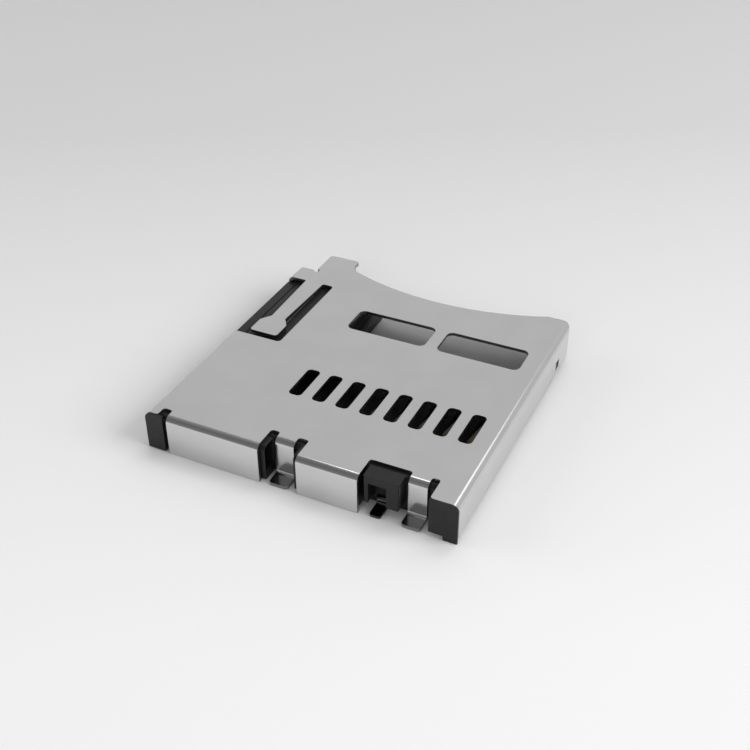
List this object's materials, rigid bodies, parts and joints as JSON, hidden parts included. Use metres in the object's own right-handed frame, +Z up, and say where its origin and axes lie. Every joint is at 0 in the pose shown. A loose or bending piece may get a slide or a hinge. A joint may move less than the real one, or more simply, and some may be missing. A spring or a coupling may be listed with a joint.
{
  "type": "memory card socket",
  "caption": "Low surface-mount push-push memory card socket: folded sheet cover over a moulded base with spring contacts, slider and cam rod.",
  "frame": {"origin": "middle of the footprint on the board, at the middle of the bounding box's underside", "axes": "+Z up from the board, +Y towards the card mouth, +X to the right seen from the rear terminals"},
  "size_m": [0.014, 0.015, 0.0019],
  "materials": {
    "cover_sheet": "bright rolled and plated",
    "base_plastic": "moulded black",
    "slider_plastic": "moulded black",
    "spring_steel": "drawn wire",
    "rod_steel": "drawn wire",
    "latch_steel": "rolled strip",
    "detect_plating": "tin plated strip",
    "contact_plating": "gold plated strip"
  },
  "bodies": {
    "socket": {"shell_cover": "cover_sheet", "base_housing": "base_plastic", "eject_spring": "spring_steel", "detect_contact": "detect_plating", "contact_1": "contact_plating", "contact_2": "contact_plating", "contact_3": "contact_plating", "contact_4": "contact_plating", "contact_5": "contact_plating", "contact_6": "contact_plating", "contact_7": "contact_plating", "contact_8": "contact_plating"},
    "slider": {"ejector_slider": "slider_plastic", "card_latch": "latch_steel"},
    "rod": {"cam_rod": "rod_steel"}
  },
  "joints": [
    {"name": "slider_slide", "type": "slide", "parent": "socket", "child": "slider", "axis": [0, -1, 0], "range_m": [0, 0.004], "stiffness_N_per_m": 200, "springref_m": -0.0025, "deforming": ["eject_spring"]},
    {"name": "cam_rod_swing", "type": "hinge", "parent": "socket", "child": "rod", "pos_m": [-0.00536, 0.00545, 0.0014], "axis": [0, 0, 1], "range_deg": [-6.8, 0]}
  ]
}
